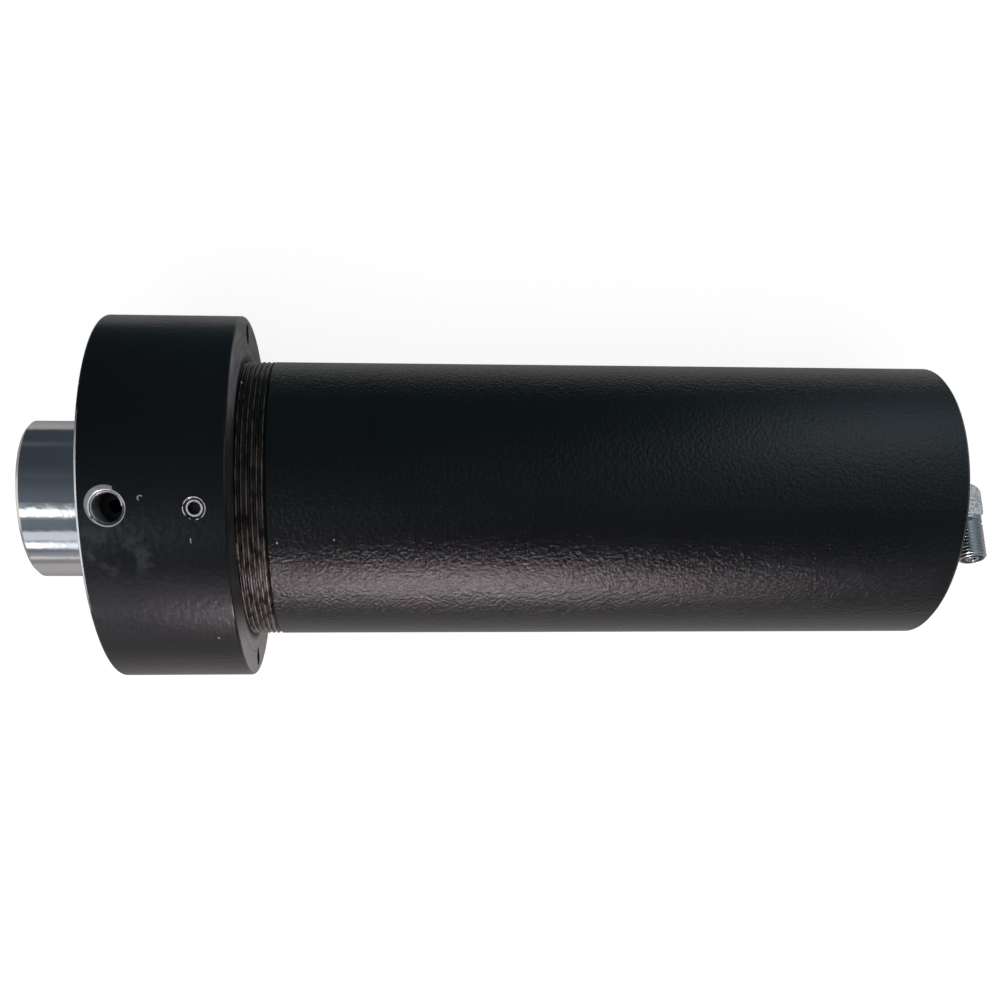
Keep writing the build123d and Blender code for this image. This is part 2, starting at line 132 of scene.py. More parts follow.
class Net:
    """Builds a node tree from sockets and plain numbers."""

    def __init__(self, tree):
        self.tree = tree

    def add(self, kind, inputs=None, **settings):
        node = self.tree.nodes.new(kind)
        for key, value in settings.items():
            setattr(node, key, value)
        for key, value in (inputs or {}).items():
            self.feed(node.inputs[key], value)
        return node

    def feed(self, socket, value):
        if isinstance(value, bpy.types.NodeSocket):
            self.tree.links.new(value, socket)
        else:
            socket.default_value = value

    def math(self, operation, *values, clamp=False):
        node = self.add("ShaderNodeMath", operation=operation, use_clamp=clamp)
        for socket, value in zip(node.inputs, values):
            self.feed(socket, value)
        return node.outputs[0]

    def mix(self, factor, first, second):
        node = self.add("ShaderNodeMix", data_type="RGBA")
        self.feed(node.inputs["Factor"], factor)
        for socket, value in zip((node.inputs[6], node.inputs[7]), (first, second)):
            self.feed(socket, (*value, 1) if isinstance(value, tuple) else value)
        return node.outputs[2]

    def blend(self, factor, first, second):
        node = self.add("ShaderNodeMix", data_type="FLOAT")
        self.feed(node.inputs["Factor"], factor)
        self.feed(node.inputs[2], first)
        self.feed(node.inputs[3], second)
        return node.outputs[0]

    def band(self, value, low, high, to_low=0.0, to_high=1.0):
        """Smooth step of a value from low to high."""
        node = self.add("ShaderNodeMapRange", interpolation_type="SMOOTHSTEP")
        node.clamp = True
        for socket, number in zip(node.inputs, (value, low, high, to_low, to_high)):
            self.feed(socket, number)
        return node.outputs[0]

    def noise(self, vector, scale, detail=2.0, roughness=0.5):
        inputs = {"Vector": vector, "Scale": scale, "Detail": detail, "Roughness": roughness}
        return self.add("ShaderNodeTexNoise", inputs).outputs["Fac"]

    def line_noise(self, value, scale, detail=2.0):
        node = self.add("ShaderNodeTexNoise", noise_dimensions="1D")
        self.feed(node.inputs["W"], value)
        self.feed(node.inputs["Scale"], scale)
        self.feed(node.inputs["Detail"], detail)
        return node.outputs["Fac"]

    def object_point(self):
        return self.add("ShaderNodeTexCoord").outputs["Object"]

    def split(self, vector):
        return self.add("ShaderNodeSeparateXYZ", {0: vector}).outputs

    def join(self, x, y, z):
        return self.add("ShaderNodeCombineXYZ", {0: x, 1: y, 2: z}).outputs[0]

    def radius(self, y, z):
        squares = self.math("ADD", self.math("MULTIPLY", y, y), self.math("MULTIPLY", z, z))
        return self.math("SQRT", squares)

    def distance(self, vector, point):
        node = self.add("ShaderNodeVectorMath", operation="DISTANCE")
        self.feed(node.inputs[0], vector)
        self.feed(node.inputs[1], point)
        return node.outputs["Value"]

    def near(self, vector, point, reach):
        """Mask of a small spot round a point."""
        return self.band(self.distance(vector, point), reach, 0.6 * reach)

    def within(self, value, low, high, soft):
        """Mask of a value between two limits, with soft ends."""
        rise = self.band(value, low - soft, low + soft)
        return self.math("MULTIPLY", rise, self.band(value, high + soft, high - soft))

    def times(self, *values):
        product = values[0]
        for value in values[1:]:
            product = self.math("MULTIPLY", product, value)
        return product

    def bump(self, height, distance, strength=1.0, normal=None):
        node = self.add(
            "ShaderNodeBump", {"Height": height, "Distance": distance, "Strength": strength}
        )
        if normal is not None:
            self.feed(node.inputs["Normal"], normal)
        return node.outputs[0]

    def most(self, *values):
        """Largest of the masks."""
        largest = values[0]
        for value in values[1:]:
            largest = self.math("MAXIMUM", largest, value)
        return largest

    def use(self, group, **inputs):
        node = self.add("ShaderNodeGroup", node_tree=group)
        for key, value in inputs.items():
            self.feed(node.inputs[key.replace("_", " ")], value)
        return node.outputs


def shader_group(name, inputs, outputs):
    """A node group with named float or vector sockets, and the net to fill it."""
    tree = bpy.data.node_groups.new(name, "ShaderNodeTree")
    for label, kind, value in inputs:
        socket = tree.interface.new_socket(label, in_out="INPUT", socket_type=kind)
        if value is not None:
            socket.default_value = value
    for label, kind in outputs:
        tree.interface.new_socket(label, in_out="OUTPUT", socket_type=kind)
    net = Net(tree)
    return tree, net, net.add("NodeGroupInput").outputs, net.add("NodeGroupOutput").inputs


def orange_peel_group():
    """Sprayed paint: low bumps with a finer grain on them."""
    tree, net, given, out = shader_group(
        "orange_peel",
        [
            ("Vector", "NodeSocketVector", None),
            ("Cell", "NodeSocketFloat", 600.0),
            ("Grain", "NodeSocketFloat", 0.3),
        ],
        [("Height", "NodeSocketFloat")],
    )
    waves = net.noise(given["Vector"], given["Cell"], 1.0)
    fine = net.noise(given["Vector"], net.math("MULTIPLY", given["Cell"], 3.1), 2.0, 0.6)
    net.feed(out["Height"], net.math("MULTIPLY_ADD", fine, given["Grain"], waves))
    return tree


def turned_group():
    """Tool marks that run round the ram's axis, along its length and across its faces."""
    tree, net, given, out = shader_group(
        "tool_marks",
        [("Vector", "NodeSocketVector", None), ("Lines", "NodeSocketFloat", 4000.0)],
        [("Height", "NodeSocketFloat")],
    )
    x, y, z = net.split(given["Vector"])
    run = net.math("ADD", x, net.radius(y, z))
    fine = net.line_noise(run, given["Lines"], 3.0)
    coarse = net.line_noise(run, net.math("MULTIPLY", given["Lines"], 0.17), 1.0)
    net.feed(out["Height"], net.math("MULTIPLY_ADD", coarse, 0.5, fine))
    return tree


def specks_group():
    """Scattered specks: mask near the points of a cell pattern, only in some of the cells."""
    tree, net, given, out = shader_group(
        "specks",
        [
            ("Vector", "NodeSocketVector", None),
            ("Scale", "NodeSocketFloat", 150.0),
            ("Size", "NodeSocketFloat", 0.12),
            ("Share", "NodeSocketFloat", 0.2),
        ],
        [("Mask", "NodeSocketFloat")],
    )
    wobble = net.noise(given["Vector"], net.math("MULTIPLY", given["Scale"], 4.0), 1.0)
    cell = net.add("ShaderNodeTexVoronoi", {"Vector": given["Vector"], "Scale": given["Scale"]})
    chance = net.split(cell.outputs["Color"])[0]
    reach = net.math("MULTIPLY", given["Size"], net.math("ADD", wobble, 0.5))
    near = net.math("LESS_THAN", cell.outputs["Distance"], reach)
    kept = net.math("LESS_THAN", chance, given["Share"])
    net.feed(out["Mask"], net.math("MULTIPLY", near, kept))
    return tree


orange_peel = orange_peel_group()
tool_marks = turned_group()
specks = specks_group()


def new_material(name):
    """A material with an empty Principled shader, its net and its shader node."""
    material = bpy.data.materials.new(name)
    material.use_nodes = True
    net = Net(material.node_tree)
    shader = material.node_tree.nodes["Principled BSDF"]
    return material, net, shader


def barrel_paint():
    """Semi-gloss black paint on the tube, its base and the weld."""
    material, net, shader = new_material("barrel_paint")
    point = net.object_point()
    height = net.use(orange_peel, Vector=point, Cell=720.0, Grain=0.55)["Height"]
    patches = net.noise(point, 22.0, 3.0)
    colour = net.mix(patches, (0.0022, 0.0028, 0.0031), (0.0042, 0.0047, 0.005))
    for place, reach in barrel_specks:
        colour = net.mix(net.near(point, place, reach), colour, (0.3, 0.3, 0.29))
    net.feed(shader.inputs["Base Color"], colour)
    net.feed(shader.inputs["Roughness"], net.band(patches, 0.3, 0.7, 0.15, 0.2))
    net.feed(shader.inputs["Normal"], net.bump(height, 0.00026))
    return material


def collar_paint():
    """The collar's thinner paint: bare rings round its holes, pale as a painted glint, scuffs, and a
    rear face painted lighter towards +Y and -Y as a painted reflection of the floor, with painted
    shade where it meets the thread.
    """
    material, net, shader = new_material("collar_paint")
    point = net.object_point()
    x, y, z = net.split(point)
    reach = net.radius(y, z)
    height = net.use(orange_peel, Vector=point, Cell=380.0, Grain=0.25)["Height"]
    marks = net.use(tool_marks, Vector=point, Lines=900.0)["Height"]
    ragged = net.noise(point, 420.0, 3.0, 0.65)
    cloudy = net.noise(point, 170.0, 4.0, 0.6)
    patches = net.noise(point, 30.0, 3.0)

    flat_point = net.join(x, y, 0.0)
    port_side = net.math("GREATER_THAN", z, 0.9 * collar_r)
    from_port = net.distance(flat_point, (port_x, 0, 0))
    from_grub = net.distance(flat_point, (grub_x, 0, 0))
    far_side = net.band(net.math("SUBTRACT", y, x), -port_x - 1.5 * mm, -port_x + 1.5 * mm)
    # Pale rings round the port and the grub screw: bare metal, lightened to near white as a painted
    # glint; the inner ring is drawn only on the far side, as a painted glint arc.
    outer_ring = net.within(from_port, 6.4 * mm, 6.88 * mm, 0.06 * mm)
    outer_ring = net.times(outer_ring, net.band(ragged, 0.25, 0.45))
    inner_ring_glint = net.times(net.within(from_port, 5.75 * mm, 6.05 * mm, 0.05 * mm), far_side, 0.8)
    grub_ring = net.within(from_grub, 3.95 * mm, 4.25 * mm, 0.06 * mm)
    grub_ring = net.times(grub_ring, net.band(ragged, 0.4, 0.5))
    bright = net.times(port_side, net.most(outer_ring, inner_ring_glint, grub_ring))
    from_spot = net.distance(flat_point, (*spotface_centre, 0))
    spotface = net.times(
        net.band(from_spot, spotface_r + 0.03 * mm, spotface_r - 0.03 * mm),
        net.band(from_port, 6.88 * mm, 6.98 * mm),
        net.band(z, collar_r - 0.3 * mm, collar_r - 0.33 * mm),
        net.band(x, port_x + 2.6 * mm, port_x + 2.2 * mm),
        port_side,
    )
    mouth = net.times(port_side, net.within(from_port, 5.6 * mm, 6.8 * mm, 0.06 * mm))

    handled_x, handled_y = (-56 * mm, -24 * mm), (-24 * mm, -8 * mm)
    region = net.times(
        net.within(y, *handled_y, 5 * mm), net.within(x, *handled_x, 6 * mm), port_side
    )
    scuffs = net.times(region, net.band(cloudy, 0.5, 0.66))
    tick = net.times(
        net.within(x, *tick_x, 0.1 * mm), net.within(y, *tick_y, 0.2 * mm), port_side
    )
    from_nick = net.distance(point, nick_centre)
    open_side = net.band(net.math("SUBTRACT", x, y), -34.4 * mm, -34.9 * mm)
    nick = net.times(net.within(from_nick, *nick_r, 0.15 * mm), net.band(ragged, 0.4, 0.52), open_side)
    chips = net.most(tick, nick, net.near(point, dot_centre, dot_r))

    drawn_out = net.join(net.times(reach, 3.0), net.times(y, 0.5), net.times(z, 0.5))
    streaks = net.noise(drawn_out, 160.0, 4.0, 0.6)
    # Rear face: streaky bare metal, painted lighter in its +Y and -Y crescents as a painted reflection
    # of the floor seen at grazing; the -Y crescent, towards the side window, is painted lighter still.
    upper_sheen = net.band(y, 20 * mm, 52 * mm)
    lower_sheen = net.band(y, -35 * mm, -58 * mm)
    dull = net.mix(net.band(streaks, 0.3, 0.7), (0.012, 0.011, 0.011), (0.05, 0.045, 0.042))
    worn_and_sheen = net.mix(net.band(streaks, 0.3, 0.7), (0.2, 0.175, 0.17), (0.42, 0.39, 0.385))
    dull = net.mix(upper_sheen, dull, worn_and_sheen)
    dull = net.mix(lower_sheen, dull, net.mix(streaks, (0.5, 0.47, 0.44), (0.7, 0.66, 0.62)))
    arc = net.times(net.within(reach, 64.6 * mm, 65.1 * mm, 0.15 * mm), net.band(ragged, 0.35, 0.5))
    dull = net.mix(net.times(arc, 0.6), dull, (0.06, 0.055, 0.05))
    # Painted shade: a dark ring on the rear face where it meets the thread.
    root_shade = net.band(reach, 61.5 * mm, 57.5 * mm)
    dull = net.mix(root_shade, dull, (0.012, 0.011, 0.01))
    rear = net.band(x, -0.12 * mm, -0.02 * mm)

    paint = net.mix(patches, (0.0026, 0.0031, 0.0037), (0.0045, 0.0048, 0.0058))
    paint = net.mix(net.times(scuffs, 0.7), paint, (0.018, 0.023, 0.026))
    paint = net.mix(mouth, paint, (0.012, 0.012, 0.011))
    paint = net.mix(spotface, paint, (0.3, 0.3, 0.3))
    paint = net.mix(chips, paint, (0.25, 0.26, 0.27))
    # The rear face's colour, with its painted reflection.
    paint = net.mix(rear, paint, dull)
    # Near-white rings: partly bare metal, partly a painted glint.
    net.feed(shader.inputs["Base Color"], net.mix(bright, paint, (0.85, 0.86, 0.87)))
    net.feed(shader.inputs["Metallic"], net.most(net.times(bright, 0.45), net.times(spotface, 0.5)))
    rough = net.band(patches, 0.3, 0.7, 0.27, 0.33)
    rough = net.blend(scuffs, rough, 0.42)
    net.feed(shader.inputs["Roughness"], net.blend(rear, rough, 0.45))
    relief = net.bump(marks, 0.00002)
    net.feed(shader.inputs["Normal"], net.bump(height, 0.00012, 1.0, relief))
    return material


def edge_paint():
    """Glossy paint drawn thin over the collar's rounded edges; at the front it wears through to pale
    bare metal, partly a painted highlight of the edge's glint in front of the rod.
    """
    material, net, shader = new_material("edge_paint")
    point = net.object_point()
    x, y, z = net.split(point)
    ragged = net.noise(point, 300.0, 4.0, 0.65)
    # Pale bare spots at the front edge, on the +Z side and in the band in front of the rod: partly
    # wear, partly a painted highlight of the edge's glint.
    front = net.band(x, -30 * mm, -40 * mm)
    glint_zone = net.within(y, -30 * mm, 26 * mm, 12 * mm)
    worn_and_sheen = net.times(front, net.math("GREATER_THAN", z, 0.0), glint_zone, net.band(ragged, 0.22, 0.36))
    rest = net.times(front, net.band(ragged, 0.6, 0.66), 0.5)
    bare = net.most(worn_and_sheen, rest)
    net.feed(shader.inputs["Base Color"], net.mix(bare, (0.0035, 0.004, 0.005), (0.88, 0.91, 0.95)))
    net.feed(shader.inputs["Metallic"], net.times(bare, 0.5))
    net.feed(shader.inputs["Roughness"], net.blend(bare, 0.16, 0.28))
    net.feed(shader.inputs["Normal"], net.bump(ragged, 0.00003))
    return material


def thread_steel():
    """Greasy thread between the collar and the barrel, polished bright along its crests by rubbing;
    crests and greasy film are painted lighter on the -Y side, a painted highlight where the side
    window's light falls.
    """
    material, net, shader = new_material("oily_thread")
    point = net.object_point()
    x, y, z = net.split(point)
    reach = net.radius(y, z)
    grime = net.noise(net.join(net.times(x, 4.0), y, z), 150.0, 5.0, 0.6)
    crest = net.band(reach, barrel_r - 0.5 * mm, barrel_r - 0.05 * mm)
    # Painted highlight: crests and greasy film are painted lighter on the -Y side, towards the side
    # window.
    lower_sheen = net.band(y, -6 * mm, -30 * mm)
    glint_zone = net.math("MULTIPLY_ADD", lower_sheen, 0.82, 0.18)
    rubbed_and_glint = net.times(crest, net.band(grime, 0.35, 0.65), glint_zone)
    grease_and_sheen = net.times(net.band(grime, 0.4, 0.7), net.math("MULTIPLY_ADD", lower_sheen, 0.8, 0.2))
    colour = net.mix(grease_and_sheen, (0.006, 0.0055, 0.005), (0.08, 0.071, 0.056))
    colour = net.mix(rubbed_and_glint, colour, (0.4, 0.33, 0.31))
    smear = net.times(net.within(x, *smear_x, 0.2 * mm), net.within(y, *smear_y, 0.5 * mm))
    smear = net.times(smear, net.band(grime, 0.38, 0.5), net.math("GREATER_THAN", z, 0.0))
    for place, size in thread_specks:
        smear = net.most(smear, net.near(point, place, size))
    net.feed(shader.inputs["Base Color"], net.mix(smear, colour, (0.42, 0.4, 0.32)))
    net.feed(shader.inputs["Metallic"], net.times(rubbed_and_glint, 0.7))
    net.feed(shader.inputs["Roughness"], net.band(grime, 0.3, 0.7, 0.16, 0.38))
    net.feed(shader.inputs["Normal"], net.bump(grime, 0.00012))
    return material


def grub_steel():
    """Black oxide, rubbed bright round the mouth of the hexagon."""
    material, net, shader = new_material("grub_steel")
    point = net.object_point()
    x, y, z = net.split(point)
    from_axis = net.distance(net.join(x, y, 0.0), (grub_x, 0, 0))
    ragged = net.noise(point, 700.0, 3.0, 0.6)
    ring = net.within(from_axis, 2.5 * mm, 3.15 * mm, 0.1 * mm)
    at_top = net.band(z, collar_r - 1.1 * mm, collar_r - 0.9 * mm)
    ring = net.times(ring, at_top, net.band(ragged, 0.28, 0.42))
    net.feed(shader.inputs["Base Color"], net.mix(ring, (0.012, 0.012, 0.013), (0.75, 0.76, 0.78)))
    net.feed(shader.inputs["Metallic"], net.times(ring, 0.45))
    net.feed(shader.inputs["Roughness"], net.blend(ring, 0.4, 0.3))
    net.feed(shader.inputs["Normal"], net.bump(ragged, 0.00004))
    return material


def hard_chrome():
    """Ground and polished plating, with faint grinding lines round the rod."""
    material, net, shader = new_material("hard_chrome")
    point = net.object_point()
    marks = net.use(tool_marks, Vector=point, Lines=9000.0)["Height"]
    haze = net.noise(point, 40.0, 3.0)
    net.feed(shader.inputs["Base Color"], net.mix(haze, (0.72, 0.735, 0.75), (0.8, 0.81, 0.82)))
    shader.inputs["Metallic"].default_value = 1.0
    net.feed(shader.inputs["Roughness"], net.band(haze, 0.2, 0.8, 0.1, 0.16))
    waves = net.noise(point, 230.0, 2.0)
    relief = net.bump(waves, 0.00006)
    net.feed(shader.inputs["Normal"], net.bump(marks, 0.000003, 1.0, relief))
    return material


def metal(name, dark, light, rough_low, rough_high, lines, relief):
    """Turned metal with tool marks of one scale."""
    material, net, shader = new_material(name)
    point = net.object_point()
    marks = net.use(tool_marks, Vector=point, Lines=lines)["Height"]
    haze = net.noise(point, 120.0, 4.0, 0.6)
    net.feed(shader.inputs["Base Color"], net.mix(haze, dark, light))
    shader.inputs["Metallic"].default_value = 1.0
    net.feed(shader.inputs["Roughness"], net.band(haze, 0.3, 0.7, rough_low, rough_high))
    net.feed(shader.inputs["Normal"], net.bump(marks, relief))
    return material


def forged_zinc():
    """Dull zinc over a forged skin: mottled, with small dark pits."""
    material, net, shader = new_material("forged_zinc")
    point = net.object_point()
    mottle = net.noise(point, 1100.0, 4.0, 0.65)
    pits = net.use(specks, Vector=point, Scale=1200.0, Size=0.3, Share=0.4)["Mask"]
    colour = net.mix(net.band(mottle, 0.38, 0.6), (0.38, 0.38, 0.39), (0.78, 0.79, 0.81))
    net.feed(shader.inputs["Base Color"], net.mix(net.times(pits, 0.7), colour, (0.2, 0.19, 0.18)))
    shader.inputs["Metallic"].default_value = 0.2
    net.feed(shader.inputs["Roughness"], net.band(mottle, 0.3, 0.7, 0.36, 0.5))
    net.feed(shader.inputs["Normal"], net.bump(mottle, 0.0002))
    return material


def soft_material(name, dark, light, rough, cell, relief):
    """Rubber or plastic with a fine moulded grain."""
    material, net, shader = new_material(name)
    point = net.object_point()
    grain = net.noise(point, cell, 3.0, 0.6)
    net.feed(shader.inputs["Base Color"], net.mix(grain, dark, light))
    net.feed(shader.inputs["Roughness"], net.band(grain, 0.3, 0.7, rough - 0.06, rough + 0.06))
    net.feed(shader.inputs["Normal"], net.bump(grain, relief))
    return material


finishes = {
    "black_paint": barrel_paint(),
    "rod_chrome": hard_chrome(),
    "machined_steel": metal(
        "turned_steel", (0.42, 0.42, 0.41), (0.6, 0.6, 0.59), 0.28, 0.42, 2500.0, 0.00001
    ),
    "zinc_steel": metal(
        "machined_zinc", (0.6, 0.61, 0.63), (0.76, 0.77, 0.78), 0.22, 0.34, 5000.0, 0.000008
    ),
    "black_oxide": metal(
        "black_oxide", (0.035, 0.034, 0.034), (0.07, 0.068, 0.066), 0.32, 0.46, 4000.0, 0.00001
    ),
    "brass": metal(
        "turned_brass", (0.6, 0.44, 0.2), (0.74, 0.58, 0.32), 0.25, 0.36, 3000.0, 0.00001
    ),
    "seal_rubber": soft_material(
        "seal_rubber", (0.008, 0.008, 0.0085), (0.02, 0.02, 0.021), 0.5, 1500.0, 0.00002
    ),
    "wiper_polyurethane": soft_material(
        "wiper_polyurethane", (0.01, 0.014, 0.03), (0.016, 0.022, 0.045), 0.38, 1200.0, 0.00002
    ),
    "guide_plastic": soft_material(
        "guide_plastic", (0.09, 0.065, 0.045), (0.14, 0.105, 0.075), 0.6, 2000.0, 0.00003
    ),
}


def finish_nodes():
    """Gives each node the finish of its slot in the record."""
    for part in frame["record"]["subparts"]:
        mesh = nodes[part["node"]].data
        mesh.materials.clear()
        mesh.materials.append(finishes[part["material_slot"]])
    nodes["head_collar"].data.materials[0] = collar_paint()
    nodes["collar_grub_screw"].data.materials[0] = grub_steel()


def piece(name, vertices, faces, material, body, smooth=True):
    """A mesh object that rides on a body."""
    mesh = bpy.data.meshes.new(name)
    mesh.from_pydata([tuple(v) for v in vertices], [], faces)
    mesh.materials.append(material)
    mesh.validate()
    if smooth:
        mesh.shade_smooth()
    made = bpy.data.objects.new(name, mesh)
    scene.collection.objects.link(made)
    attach(made, body)
    return made


def ring_mesh(section, steps, place=Matrix.Identity(4)):
    """Vertices and faces of a closed section carried round the local X axis.

    section(turn) gives the (station, radius) points of the section at that turn, in 0 to 1.
    """
    vertices, faces = [], []
    for step in range(steps):
        turn = step / steps
        for station, reach in section(turn):
            angle = 2 * pi * turn
            vertices.append(place @ Vector((station, reach * sin(angle), reach * cos(angle))))
    count = len(vertices) // steps
    for step in range(steps):
        here, after = step * count, (step + 1) % steps * count
        for i in range(count):
            j = (i + 1) % count
            faces.append((here + i, here + j, after + j, after + i))
    return vertices, faces


def ridge(offset, pitch):
    """Height, 0 to 1, of a 60 degree thread at an offset along its axis."""
    from_crest = abs((offset / pitch + 0.5) % 1 - 0.5)
    crest_flat, root_start = 1 / 16, 3 / 8
    return min(1.0, max(0.0, (root_start - from_crest) / (root_start - crest_flat)))


def threaded_section(start, end, root, crest, pitch, back, fade, step):
    """Section function of a threaded sleeve; back is the radius of its hidden side."""
    count = ceil((end - start) / step)
    stations = [start + (end - start) * i / count for i in range(count + 1)]

    def section(turn):
        points = []
        for station in stations:
            ends = min(1.0, (station - start) / fade, (end - station) / fade)
            height = ridge(station - start - turn * pitch, pitch) * ends
            points.append((station, root + (crest - root) * height))
        return points + [(end, back), (start, back)]

    return section


def collar_edges():
    """Rounded edges of the collar, where paint has drawn over its chamfers."""
    material = edge_paint()
    edge_r, under_skin, arc_steps = 1.2 * mm, 0.03 * mm, 10
    sides = {"rear": (0.0, -1), "front": (collar_front, 1)}
    for name, (face, inward) in sides.items():
        centre_x, centre_r = face + inward * edge_r, collar_r - edge_r - under_skin

        def section(turn):
            turns = [radians(90 * i / arc_steps) for i in range(arc_steps + 1)]
            points = [
                (centre_x - inward * edge_r * sin(a), centre_r + edge_r * cos(a)) for a in turns
            ]
            return points + [(centre_x, centre_r)]

        vertices, faces = ring_mesh(section, 256)
        if inward < 0:
            faces = [tuple(reversed(f)) for f in faces]
        made = piece(f"collar_{name}_edge", vertices, faces, material, "barrel")


def port_burr():
    """The start of the port's thread, which stands up as a curl of metal in the mouth."""
    start, end, count = 15, 82, 24
    mouth_r = 6.85 * mm
    vertices, faces = [], []
    for i in range(count + 1):
        part = i / count
        angle = radians(start + (end - start) * part)
        middle = (6.5 - 0.75 * part) * mm
        half = (0.12 + 0.3 * part) * mm
        lift = collar_r - (mouth_r - middle) + (0.04 + 0.2 * part) * mm
        edges = (middle - half, lift), (middle + half, lift)
        crown, foot = (middle, lift + 0.2 * mm), (middle, lift - 0.4 * mm)
        for reach, height in (edges[0], crown, edges[1], foot):
            vertices.append((port_x + reach * sin(angle), reach * cos(angle), height))
    for i in range(count):
        for j in range(4):
            k = (j + 1) % 4
            faces.append((4 * i + j, 4 * i + k, 4 * i + 4 + k, 4 * i + 4 + j))
    faces += [(3, 2, 1, 0), tuple(4 * count + j for j in range(4))]
    made = piece(
        "port_thread_start", vertices, faces, finishes["zinc_steel"], "barrel", smooth=False
    )


def barrel_thread():
    """The bare stretch of the barrel's thread, behind the collar."""
    pitch = 2 * mm
    root = 55.82 * mm
    back, fade = 55.4 * mm, 0.5 * mm
    start, end = -1.4 * mm, 11.6 * mm
    section = threaded_section(start, end, root, barrel_r, pitch, back, fade, pitch / 16)
    vertices, faces = ring_mesh(section, 288)
    made = piece("barrel_thread", vertices, faces, thread_steel(), "barrel")


def port_thread():
    """Thread forms in the port, standing on the tapped hole's wall."""
    pitch = 1.337 * mm
    top = collar_r - 1.3 * mm
    bottom = collar_r - 13.5 * mm
    place = Matrix.Translation((port_x, 0, 0)) @ Matrix.Rotation(radians(-90), 4, "Y")
    crest, back, fade = port_r - 0.32 * mm, port_r + 0.2 * mm, 0.4 * mm
    section = threaded_section(bottom, top, port_r, crest, pitch, back, fade, pitch / 14)
    vertices, faces = ring_mesh(section, 96, place)
    made = piece("port_thread", vertices, faces, finishes["machined_steel"], "barrel")


def forging_mesh(origin):
    """The elbow's block and stud from the frame's form, rounded and uneven as a forging is."""
    thinner, shorter = 0.88, 0.22
    form = bmesh.new()
    form.from_mesh(nodes["elbow_body"].data)
    bmesh.ops.remove_doubles(form, verts=form.verts, dist=0.001 * mm)
    everything = form.verts[:] + form.edges[:] + form.faces[:]
    cut = origin + outlet_axis * shoulder
    bmesh.ops.bisect_plane(
        form, geom=everything, plane_co=cut, plane_no=outlet_axis, clear_outer=True
    )
    bmesh.ops.holes_fill(form, edges=[e for e in form.edges if e.is_boundary])
    for vertex in form.verts:
        along = (vertex.co - origin).dot(outlet_axis)
        if vertex.co.x > block_low:
            vertex.co.x = block_low + (vertex.co.x - block_low) * thinner
            vertex.co -= outlet_axis * min(0.0, along) * shorter
    mesh = bpy.data.meshes.new("elbow_forging")
    form.to_mesh(mesh)
    form.free()

    made = bpy.data.objects.new("elbow_forging", mesh)
    scene.collection.objects.link(made)
    remesh = made.modifiers.new("remesh", "REMESH")
    remesh.mode, remesh.voxel_size = "VOXEL", 0.4 * mm
    soften = made.modifiers.new("soften", "SMOOTH")
    soften.factor, soften.iterations = 0.5, 7
    evaluated = made.evaluated_get(bpy.context.evaluated_depsgraph_get())
    skin = bpy.data.meshes.new_from_object(evaluated)
    made.modifiers.clear()
    for vertex in skin.vertices:
        if vertex.co.x > block_low:
            coarse = noise.noise(vertex.co * 260) * 0.12 * mm
            fine = noise.noise(vertex.co * 800) * 0.06 * mm
            vertex.co += vertex.normal * (coarse + fine - 0.05 * mm)
    made.data = skin
    return made


def elbow():
    """The elbow fitting: its forged block from the frame's form, and a threaded outlet."""
    origin = Vector((elbow_x, 0, 0))
    made = forging_mesh(origin)
    made.data.materials.clear()
    made.data.materials.append(forged_zinc())
    made.data.shade_smooth()
    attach(made, "barrel")
    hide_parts("elbow_body")

    reach_end = outlet_reach + outlet_len / 2 + 0.6 * mm
    thread_start = outlet_reach - outlet_len / 2
    neck_r = 5.9 * mm
    root = outlet_r - 0.92 * mm
    groove_in, groove_out, groove_depth = 2.8 * mm, 4.8 * mm, 1.6 * mm
    bore, bore_depth, mouth = 1.95 * mm, 12 * mm, 0.25 * mm
    pitch, fade, chamfer = 1.5 * mm, 0.8 * mm, 0.8 * mm
    count = 150
    stations = [thread_start + (reach_end - thread_start) * i / count for i in range(count + 1)]

    def section(turn):
        hidden = shoulder - 1 * mm
        points = [(hidden, bore), (hidden, neck_r), (thread_start - 0.3 * mm, neck_r)]
        for station in stations:
            starts = min(1.0, (station - thread_start) / fade)
            height = ridge(station - thread_start - turn * pitch, pitch)
            reach = root + (outlet_r - root) * height * starts
            points.append((station, min(reach, outlet_r - chamfer + (reach_end - station))))
        points += [(reach_end, groove_out), (reach_end - groove_depth, groove_out)]
        points += [(reach_end - groove_depth, groove_in), (reach_end, groove_in)]
        points += [(reach_end, bore + mouth), (reach_end - mouth, bore)]
        return points + [(reach_end - bore_depth, bore)]

    across = Vector((1, 0, 0))
    third = outlet_axis.cross(across)
    place = Matrix.Translation(origin) @ Matrix((outlet_axis, across, third)).transposed().to_4x4()
    vertices, faces = ring_mesh(section, 96, place)
    outlet = piece("elbow_outlet_thread", vertices, faces, finishes["zinc_steel"], "barrel")
    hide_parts("elbow_body")

    section_r, section_steps = 0.9 * mm, 24
    middle = (groove_in + groove_out) / 2
    ring_x = reach_end - groove_depth + section_r

    def round_section(turn):
        turns = [2 * pi * i / section_steps for i in range(section_steps)]
        return [(ring_x + section_r * cos(a), middle + section_r * sin(a)) for a in turns]

    vertices, faces = ring_mesh(round_section, 72, place)
    ring = piece("outlet_o_ring", vertices, faces, finishes["seal_rubber"], "barrel")
    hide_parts("elbow_face_o_ring")


